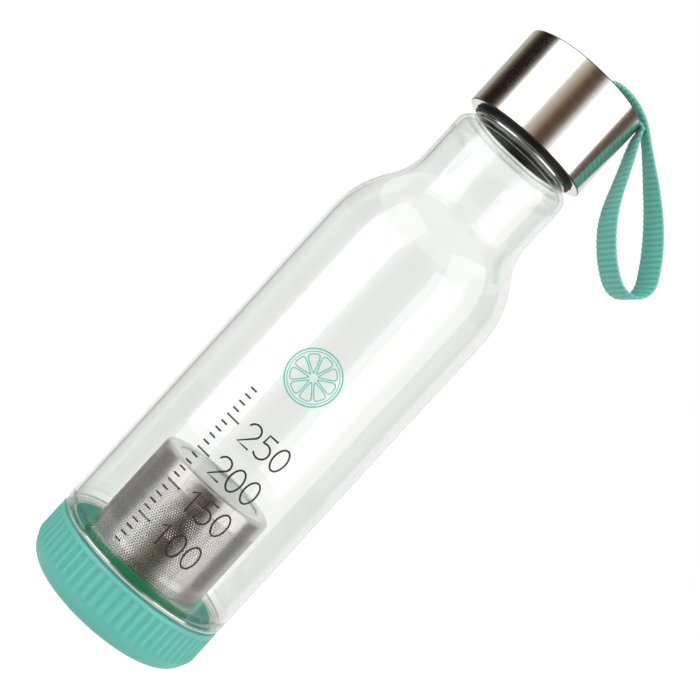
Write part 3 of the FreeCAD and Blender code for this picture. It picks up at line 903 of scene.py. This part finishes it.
def strap_line(route):
    """The strap's middle line in millimetres, read from the NURBS spline of its route."""
    curve = bpy.data.curves.new("strap_route", "CURVE")
    curve.dimensions = "3D"
    curve.resolution_u = 40
    spline = curve.splines.new("NURBS")
    spline.points.add(len(route) - 1)
    for knot, point in zip(spline.points, route * MM):
        knot.co = (*point, 1)
    spline.order_u = 3
    spline.use_endpoint_u = True
    holder = bpy.data.objects.new("strap_route", curve)
    mesh = bpy.data.meshes.new_from_object(holder)
    line = np.array([vertex.co for vertex in mesh.vertices]) / MM
    bpy.data.objects.remove(holder)
    bpy.data.curves.remove(curve)
    bpy.data.meshes.remove(mesh)
    return line


def strap_loop():
    """Ribbon along the strap's line: a flat section with round edges, thickened rib by rib.

    Thickness and width follow a cosine along the line, one period for each rib. The width turns
    from square across the lid into the loop's own plane by the route's angles.
    """
    route = np.array(STRAP_ROUTE)[:, :3] + (0, 0, LID_TOP_Z)
    coarse = strap_line(route)
    run = lengths_along(coarse)
    stations = np.linspace(0, run[-1], round(run[-1] / RIB_PITCH) * RIB_SAMPLES + 1)
    line = np.stack([np.interp(stations, run, axis) for axis in coarse.T], axis=1)
    share = lengths_along(route)
    turn = np.radians(np.interp(stations / run[-1], share / share[-1], np.array(STRAP_ROUTE)[:, 3]))
    way = np.gradient(line, axis=0)
    way /= np.linalg.norm(way, axis=1)[:, None]
    wide = np.sin(turn)[:, None] * LOOP_ACROSS - np.cos(turn)[:, None] * (0, 1, 0)
    wide -= way * np.sum(wide * way, axis=1)[:, None]
    wide /= np.linalg.norm(wide, axis=1)[:, None]
    thick = np.cross(way, wide)
    rib = np.cos(2 * np.pi * stations / RIB_PITCH)
    edge = np.linspace(-np.pi / 2, np.pi / 2, EDGE_STEPS + 1)
    half = STRAP_THICKNESS / 2
    bow = np.concatenate([np.cos(edge), -np.cos(edge)]) * half
    rise = np.concatenate([np.sin(edge), -np.sin(edge)]) * half
    middle = np.repeat([1, -1], EDGE_STEPS + 1) * (STRAP_WIDTH / 2 - half)
    across = middle + bow + np.sign(middle) * RIB_WAIST * (rib[:, None] - 1)
    through = rise * (1 - RIB_SWELL + RIB_SWELL * rib[:, None])
    surface = carried(np.stack([across, through], axis=-1), line, wide, thick)
    loop = piece("strap_loop", surface, WEBBING, "lid", ["carry_strap"])
    lay_uv(loop, across, stations)


def lay_uv(ribbon, across, stations):
    """UV map of a ribbon in millimetres: across it, and along its line."""
    flat = np.stack([across, np.broadcast_to(stations[:, None], across.shape)], axis=-1).reshape(-1, 2)
    mesh = ribbon.data
    corners = np.empty(len(mesh.loops), np.int32)
    mesh.loops.foreach_get("vertex_index", corners)
    mesh.uv_layers.new(name="weave").data.foreach_set("uv", flat[corners].ravel())


# Print on the glass

PRINT_GAP = 0.01
PRINT_DEPTH = 0.03
PRINT_STROKE = 0.65
SCALE_ZERO_Z = 12.5
ML_RISE = 1000 / (math.pi * (BODY_RADIUS - GLASS_WALL) ** 2)
DIGIT_WIDTH = 4.7
DIGIT_HEIGHT = 8.2
DIGIT_STEP = 6.2
SCALE_ML = range(60, 300, 10)
NUMBERED_ML = 50
SCALE_X = -13.0
LONG_MARK = 5.4
SHORT_MARK = 2.6
NUMBER_X = -4.6
SLICE_Z = 110.0
SLICE_RADIUS = 9.4
SLICE_SEGMENTS = 9
RIND = 0.9
RIND_STROKE = 0.5
PITH_STROKE = 0.3
PITH_HALF = 0.35
SEGMENT_STROKE = 0.4
SEGMENT_MIDDLE = 4.6
SEGMENT_HALF = 3.0
SQUARING = 0.6


def stroke(line, width):
    """Ribbon of one width along a flat line: each point and its normal, carried to both sides."""
    way = np.gradient(line, axis=0)
    way /= np.linalg.norm(way, axis=1)[:, None]
    if np.allclose(line[0], line[-1]):
        joint = way[0] + way[-1]
        way[0] = way[-1] = joint / np.linalg.norm(joint)
    side = np.stack([-way[:, 1], way[:, 0]], axis=1) * width / 2
    first = np.arange(len(line) - 1)
    count = len(line)
    faces = np.stack([first, first + count, first + count + 1, first + 1], axis=1)
    return np.concatenate([line + side, line - side]), faces


def arc(middle, radii, start, end, steps=24):
    """Piece of an ellipse, its angles in degrees from the right."""
    angle = np.radians(np.linspace(start, end, steps + 1))
    return np.array(middle) + np.stack([radii[0] * np.cos(angle), radii[1] * np.sin(angle)], axis=1)


def digit_line(digit):
    """One monoline digit in a box DIGIT_WIDTH wide and DIGIT_HEIGHT high, drawn as a single line."""
    w, h = DIGIT_WIDTH, DIGIT_HEIGHT
    if digit == "0":
        return arc((w / 2, h / 2), (w / 2, h / 2), 90, 450, 48)
    if digit == "1":
        return np.array([(w * 0.2, h * 0.78), (w * 0.62, h), (w * 0.62, 0)])
    if digit == "2":
        bow = arc((w / 2, h - w / 2), (w / 2, w / 2), 170, -35)
        return np.concatenate([bow, [(0, 0), (w, 0)]])
    bow = arc((w * 0.44, h * 0.33), (w * 0.56, h * 0.33), 122, -142)
    return np.concatenate([[(w * 0.92, h), (w * 0.18, h)], bow])


def joined(parts):
    """Several flat shapes as one: points one after another, faces counted on."""
    counts = np.cumsum([0] + [len(points) for points, _ in parts])
    faces = np.concatenate([faces + start for (_, faces), start in zip(parts, counts)])
    return np.concatenate([points for points, _ in parts]), faces


def on_glass(flat):
    """Flat shape wrapped on the straight wall: across becomes an angle round the axis, up stays up."""
    points, faces = flat
    radius = BODY_RADIUS + PRINT_GAP
    angle = points[:, 0] / radius
    wrapped = np.stack([radius * np.sin(angle), -radius * np.cos(angle), points[:, 1]], axis=1)
    return wrapped, faces.tolist()


def fill_scale():
    """Measuring scale: a mark for each 10 ml of water, a long one and a number for each 50 ml."""
    parts = []
    for ml in SCALE_ML:
        z = SCALE_ZERO_Z + ml * ML_RISE
        numbered = ml % NUMBERED_ML == 0
        reach = LONG_MARK if numbered else SHORT_MARK
        parts.append(stroke(np.array([(SCALE_X, z), (SCALE_X + reach, z)]), PRINT_STROKE))
        if numbered:
            for place, digit in enumerate(str(ml)):
                corner = (NUMBER_X + place * DIGIT_STEP, z - DIGIT_HEIGHT / 2)
                parts.append(stroke(digit_line(digit) + corner, PRINT_STROKE))
    return on_glass(joined(parts))


def slice_roundel():
    """Citrus slice in outline: two rings of rind and a ring of segments.

    A segment is a squared ellipse whose half-width grows with the distance from the middle, less
    half of the pith between two segments.
    """
    middle = (0, SLICE_Z)
    parts = [stroke(arc(middle, (SLICE_RADIUS, SLICE_RADIUS), 0, 360, 96), RIND_STROKE),
             stroke(arc(middle, (SLICE_RADIUS - RIND,) * 2, 0, 360, 96), PITH_STROKE)]
    turn = np.linspace(0, 2 * np.pi, 49)
    out = np.sign(np.cos(turn)) * np.abs(np.cos(turn)) ** SQUARING
    across = np.sign(np.sin(turn)) * np.abs(np.sin(turn)) ** SQUARING
    reach = SEGMENT_MIDDLE + SEGMENT_HALF * out
    half = across * (math.tan(math.pi / SLICE_SEGMENTS) * reach - PITH_HALF)
    for segment in range(SLICE_SEGMENTS):
        angle = 2 * math.pi * segment / SLICE_SEGMENTS + math.pi / 2
        x = reach * math.cos(angle) - half * math.sin(angle)
        z = SLICE_Z + reach * math.sin(angle) + half * math.cos(angle)
        parts.append(stroke(np.stack([x, z], axis=1), SEGMENT_STROKE))
    return on_glass(joined(parts))


# Assembly

piece("glass_bottle", glass_bottle(), GLASS, "bottle", ["bottle_body"], glass_marks)
piece("ribbed_base", ribbed_base(), TEAL_PLASTIC, "base", ["base_cap"], cap_marks)
scale = piece("fill_scale", fill_scale(), DARK_INK, "bottle")
roundel = piece("slice_roundel", slice_roundel(), TEAL_INK, "bottle")
for ink in (scale, roundel):
    thicken(ink, PRINT_DEPTH, outwards=True)
piece("collar_ring", collar_ring(), GREEN_PLASTIC, "infuser", ["infuser_collar"])
sleeve = piece("punched_sleeve", punched_sleeve(), SLEEVE_STEEL, "infuser", ["infuser_wall"])
thicken(sleeve, SHEET)
# The inside face takes the darker steel, painted shade
sleeve.data.materials.append(SLEEVE_INSIDE)
sleeve.modifiers["thickness"].material_offset = 1
screen = piece("punched_screen", punched_screen(), SCREEN_STEEL, "infuser", ["infuser_mesh"])
thicken(screen, SCREEN_HIGH[2] - SCREEN_LOW[2])
piece("screen_ring", screen_ring(), SCREEN_STEEL, "infuser")
piece("drawn_rim", drawn_rim(), RIM_STEEL, "infuser", ["infuser_shoulder"])
piece("lid_cup", lid_cup(), LID_STEEL, "lid", ["lid_shell"], lid_marks)
piece("lid_insert", lid_insert(), INSERT_PLASTIC, "lid", ["lid_liner"])
piece("dome_rivet", dome_rivet(), RIVET_STEEL, "lid", ["strap_rivet"])
strap_loop()
for node, finish in (("base_seal", SILICONE), ("lid_seal", SILICONE), ("rivet_washer", RIVET_STEEL)):
    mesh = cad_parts[node].data
    mesh.materials.clear()
    mesh.materials.append(finish)


# Studio

AMBIENT = 0.45
MIRRORED = 0.95
FLOOR_GLOW = 0.97
FLOOR_SHADE = 0.35
FLOOR_BOUNCE = 0.8
CARD_REACH = 1500.0
CARD_GAP = 50
CARD_COLUMNS = 64

# Floor and lamps, in metres
FLOOR_SIDE = 12.0
LAMP_Z = 0.35
LAMP_REACH = 0.9
LAMP_AIM_Z = 0.12


def link(obj):
    """Put a stage object into the scene."""
    scene.collection.objects.link(obj)
    return obj


def white_world():
    """White surround: full white to the eye, a shade less in metal and glass, softer as light."""
    world = bpy.data.worlds.new("white_world")
    world.use_nodes = True
    tree = world.node_tree
    path = add(tree, "ShaderNodeLightPath")
    seen = calc(tree, "MAXIMUM", path.outputs["Is Glossy Ray"], path.outputs["Is Transmission Ray"])
    soft, mirrored, white = (
        add(tree, "ShaderNodeBackground", {"Color": (1, 1, 1, 1), "Strength": strength})
        for strength in (AMBIENT, MIRRORED, 1.0))
    near = mix_shaders(tree, seen, soft, mirrored)
    mix = mix_shaders(tree, path.outputs["Is Camera Ray"], near, white)
    feed(tree, tree.nodes["World Output"], {"Surface": mix})
    scene.world = world


def stage_material(name):
    """Material of a stage object with nothing in it yet, and its tree."""
    made = bpy.data.materials.new(name)
    made.use_nodes = True
    made.node_tree.nodes.clear()
    return made, made.node_tree


def pale_floor():
    """Wide pale floor: glows nearly white, and takes the bottle's soft shadow on top of that."""
    made, tree = stage_material("pale_floor")
    glow = add(tree, "ShaderNodeEmission", {"Color": (1, 1, 1, 1), "Strength": FLOOR_GLOW})
    matt, bounce = (
        add(tree, "ShaderNodeBsdfDiffuse", {"Color": (grey, grey, grey, 1)})
        for grey in (FLOOR_SHADE, FLOOR_BOUNCE))
    both = add(tree, "ShaderNodeAddShader", {0: glow, 1: matt})
    eye_ray = add(tree, "ShaderNodeLightPath").outputs["Is Camera Ray"]
    add(tree, "ShaderNodeOutputMaterial", {"Surface": mix_shaders(tree, eye_ray, bounce, both)})
    side = FLOOR_SIDE
    mesh = bpy.data.meshes.new("floor")
    corners = [(-side, -side, 0), (side, -side, 0), (side, side, 0), (-side, side, 0)]
    mesh.from_pydata(corners, [], [(0, 1, 2, 3)])
    mesh.materials.append(made)
    floor = link(bpy.data.objects.new("floor", mesh))
    floor.visible_glossy = False
    floor.visible_transmission = False


def facing(azimuth):
    """Direction from the bottle, in degrees round from the camera's side towards +X."""
    angle = np.radians(azimuth)
    return np.stack([np.sin(angle), -np.cos(angle)], axis=-1)


def hang_card(name, points, faces, shades, shown, strength):
    """Glowing card that metal and glass mirror, with a colour at each of its points.

    It can't be seen straight through the glass, but only by paths that have met a mirror. A card for
    some of those alone lets the others through: shown compares the glass faces that a path has passed.
    """
    made, tree = stage_material(name)
    tone = add(tree, "ShaderNodeAttribute", {"attribute_name": "tone"}).outputs["Color"]
    glow = add(tree, "ShaderNodeEmission", {"Color": tone, "Strength": strength})
    path = add(tree, "ShaderNodeLightPath")
    seen = calc(tree, "GREATER_THAN", path.outputs["Glossy Depth"], 0.5)
    if shown:
        test, limit = shown
        seen = calc(tree, "MULTIPLY", seen, calc(tree, test, path.outputs["Transmission Depth"], limit))
    clear = add(tree, "ShaderNodeBsdfTransparent")
    add(tree, "ShaderNodeOutputMaterial", {"Surface": mix_shaders(tree, seen, clear, glow)})
    mesh = bpy.data.meshes.new(name)
    mesh.from_pydata(points * MM, [], faces.tolist())
    mesh.attributes.new("tone", "FLOAT_COLOR", "POINT").data.foreach_set("color", shades.ravel())
    mesh.materials.append(made)
    card = link(bpy.data.objects.new(name, mesh))
    card.visible_camera = False
    card.visible_diffuse = False
    card.visible_shadow = False


def shade_card(name, tones, heights, shown=None, strength=1.0):
    """Tall curved card; tones are pairs of azimuth and colour along it, heights of height and strength.

    Where a height's strength is 0 the card is white. A card for some paths only hangs nearer, and one
    brighter than white nearer still.
    """
    count = CARD_COLUMNS
    stops = [azimuth for azimuth, _ in tones]
    azimuths = np.linspace(stops[0], stops[-1], count)
    foot = facing(azimuths) * (CARD_REACH - CARD_GAP * bool(shown) - CARD_GAP * (strength > 1))
    points = np.concatenate([np.column_stack([foot, np.full(count, z)]) for z, _ in heights])
    colours = np.array([linear(colour) for _, colour in tones])
    shades = np.stack([np.interp(azimuths, stops, channel) for channel in colours.T], axis=1)
    rows = np.concatenate([1 + (shades - 1) * share for _, share in heights])
    hang_card(name, points, grid_faces(len(heights), count, False, False), rows, shown, strength)


def softbox(name, azimuth, size, power):
    """Rectangular lamp that looks at the middle of the bottle, its lengths in metres."""
    lamp = bpy.data.lights.new(name, "AREA")
    lamp.shape = "RECTANGLE"
    lamp.size, lamp.size_y = size
    lamp.energy = power
    obj = bpy.data.objects.new(name, lamp)
    scene.collection.objects.link(obj)
    obj.location = (*(facing(azimuth) * LAMP_REACH), LAMP_Z)
    middle = Vector((0, 0, LAMP_AIM_Z))
    obj.rotation_euler = (middle - obj.location).to_track_quat("-Z", "Y").to_euler()
    obj.visible_camera = False
    obj.visible_transmission = False


white_world()
pale_floor()
# Pale surroundings that the glass mirrors
ALL = ((-1200, 0), (-700, 1), (400, 1), (1000, 0))
shade_card("left_card", [(-150, "#B4B2AE"), (-118, "#B4B2AE"), (-106, "#A2A09C"), (-91, "#7C7A76"),
                         (-82, "#B0AEAA"), (-76, "#FFFFFF")], ALL)
shade_card("middle_card", [(-29, "#FFFFFF"), (-19, "#D7D5CE"), (-9, "#9A948C"), (10, "#8A847C"),
                           (19, "#A09C96"), (27, "#FFFFFF")], ALL)
shade_card("right_card", [(84, "#FFFFFF"), (91, "#B4B0AC"), (112, "#BAB7B4"), (125, "#D8D6D4"),
                          (132, "#FFFFFF")], ALL)
# Darker ones that only steel mirrors: the lid above, with no glass before it, and the infuser
# below, behind two walls there and back
LEFT_TONES = [(-165, "#D0CCC5"), (-141, "#BDB8B0"), (-130, "#6E6252"), (-116, "#2A1A15"), (-92, "#1A120E"),
              (-84, "#605850"), (-76, "#FFFFFF")]
MIDDLE_TONES = [(-29, "#FFFFFF"), (-19, "#D7D5CE"), (-9, "#B8A792"), (0, "#6A513B"), (10, "#54402E"),
                (19, "#6E6355"), (27, "#FFFFFF")]
RIGHT_TONES = [(84, "#FFFFFF"), (91, "#706257"), (100, "#5A4B40"), (112, "#63564A"), (128, "#A79F92")]
NEAR_TONES = [(-52, "#FFFFFF"), (-42, "#B5B3B0"), (-33, "#5A5450"), (-20, "#8A847C")]
HIGH = ((330, 1), (900, 1))
LOW = ((-900, 1), (-100, 1))
BARE = ("LESS_THAN", 0.5)
BEHIND_GLASS = ("GREATER_THAN", 3.5)
for level, heights, shown in (("high", HIGH, BARE), ("low", LOW, BEHIND_GLASS)):
    shade_card(f"left_{level}_card", LEFT_TONES, heights, shown)
    shade_card(f"middle_{level}_card", MIDDLE_TONES, heights, shown)
    shade_card(f"right_{level}_card", RIGHT_TONES, heights, shown)
shade_card("near_low_card", NEAR_TONES, LOW, BEHIND_GLASS)
# Bright ones where the lamps stand, which aren't seen through the glass themselves
LAMP_HEIGHTS = ((-600, 1), (1600, 1))
LAMP_GLOW = 2.0
shade_card("left_glow_card", [(-75, "#FFFFFF"), (-25, "#FFFFFF")], LAMP_HEIGHTS, BEHIND_GLASS, LAMP_GLOW)
shade_card("right_glow_card", [(32, "#FFFFFF"), (88, "#FFFFFF")], LAMP_HEIGHTS, BEHIND_GLASS, LAMP_GLOW)
softbox("left_softbox", -50, (0.85, 1.4), 6.5)
softbox("right_softbox", 60, (0.95, 1.4), 7.0)


# Camera

CAMERA_PLACE = (0.0, -453.19, 135.36)
CAMERA_YAW = math.radians(0.358)
CAMERA_PITCH = math.radians(-1.504)
CAMERA_ROLL = math.radians(42.48)
FOCAL_PIXELS = 1318.3
PICTURE_PIXELS = 700


def photo_camera():
    """Camera on the photograph's side of the bottle, rolled so that the bottle leans to the right."""
    data = bpy.data.cameras.new("photo_camera")
    data.sensor_width = 36
    data.lens = FOCAL_PIXELS / PICTURE_PIXELS * data.sensor_width
    data.clip_start, data.clip_end = 0.01, 100
    ahead = Vector((math.sin(CAMERA_YAW) * math.cos(CAMERA_PITCH),
                    math.cos(CAMERA_YAW) * math.cos(CAMERA_PITCH), math.sin(CAMERA_PITCH)))
    level = ahead.cross(Vector((0, 0, 1))).normalized()
    upright = level.cross(ahead)
    right = level * math.cos(CAMERA_ROLL) + upright * math.sin(CAMERA_ROLL)
    up = upright * math.cos(CAMERA_ROLL) - level * math.sin(CAMERA_ROLL)
    camera = bpy.data.objects.new("photo_camera", data)
    scene.collection.objects.link(camera)
    turn = Matrix((right, up, -ahead)).transposed().to_4x4()
    camera.matrix_world = Matrix.Translation(Vector(CAMERA_PLACE) * MM) @ turn
    scene.camera = camera


photo_camera()
